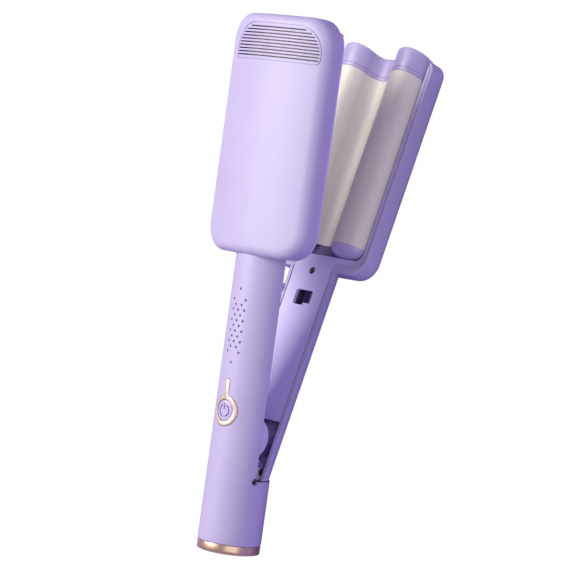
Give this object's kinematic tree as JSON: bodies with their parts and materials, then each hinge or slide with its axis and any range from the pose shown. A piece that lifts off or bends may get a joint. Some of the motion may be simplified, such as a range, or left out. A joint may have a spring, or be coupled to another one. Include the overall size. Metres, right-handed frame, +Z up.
{
  "type": "hair crimper",
  "caption": "Two-armed hair waver lying open: round grip with a power button, sprung hinge, and two wide heads whose wavy heated plates mesh when closed.",
  "frame": {"origin": "middle of the object's footprint, on the surface that it lies on", "axes": "+X from the tail towards the heads, +Y across the heads, +Z up from the surface, towards the front arm's face"},
  "size_m": [0.3066, 0.077, 0.1085],
  "materials": {
    "shell": "fine satin gloss, moulded lavender",
    "panel": "matt moulded, deeper lavender",
    "plate": "satin coated, grey champagne",
    "trim": "polished rose gold plating",
    "steel": "plain",
    "insulation": "mica board, matt",
    "board": "glass-fibre board, green",
    "wire": "silicone insulation, red",
    "dark": "matt, dark"
  },
  "bodies": {
    "front_arm": {"handle_shell": "shell", "front_head_cover": "shell", "front_inner_panel": "panel", "front_wave_plate": "plate", "front_far_cap": "shell", "front_near_cap": "shell", "front_plate_carrier": "insulation", "front_heaters": "insulation", "front_heater_clamps": "steel", "front_thermal_fuse": "steel", "front_heater_leads": "wire", "front_panel_screw": "steel", "latch_hook": "panel", "control_board": "board", "tact_switch": "dark", "button_trim": "trim", "tail_ring": "trim", "tail_cap": "panel", "hinge_pin": "steel", "hinge_spring": "steel"},
    "rear_arm": {"rear_shell": "shell", "rear_inner_panel": "panel", "rear_wave_plate": "plate", "rear_far_cap": "shell", "rear_near_cap": "shell", "rear_plate_carrier": "insulation", "rear_heaters": "insulation", "rear_heater_clamps": "steel", "rear_thermostat": "steel", "rear_heater_leads": "wire", "rear_panel_screw": "steel"},
    "button": {"power_button": "shell"},
    "swivel": {"cord_swivel": "dark", "swivel_clip": "steel"},
    "slider": {"lock_slider": "panel"}
  },
  "joints": [
    {"name": "jaw_hinge", "type": "hinge", "parent": "front_arm", "child": "rear_arm", "pos_m": [-0.10256, 0, 0.02452], "axis": [0, -1, 0], "range_deg": [0, 16], "stiffness_Nm_per_rad": 1, "springref_deg": -45.84},
    {"name": "power_press", "type": "slide", "parent": "front_arm", "child": "button", "axis": [0.2391, 0, -0.971], "range_m": [0, 0.0007], "stiffness_N_per_m": 1500, "springref_m": -0.0004},
    {"name": "cord_turn", "type": "hinge", "parent": "front_arm", "child": "swivel", "pos_m": [-0.14857, 0, 0.01731], "axis": [-0.971, 0, -0.2391], "continuous": true},
    {"name": "lock_slide", "type": "slide", "parent": "rear_arm", "child": "slider", "axis": [0.9993, 0, -0.0378], "range_m": [0, 0.003]}
  ]
}
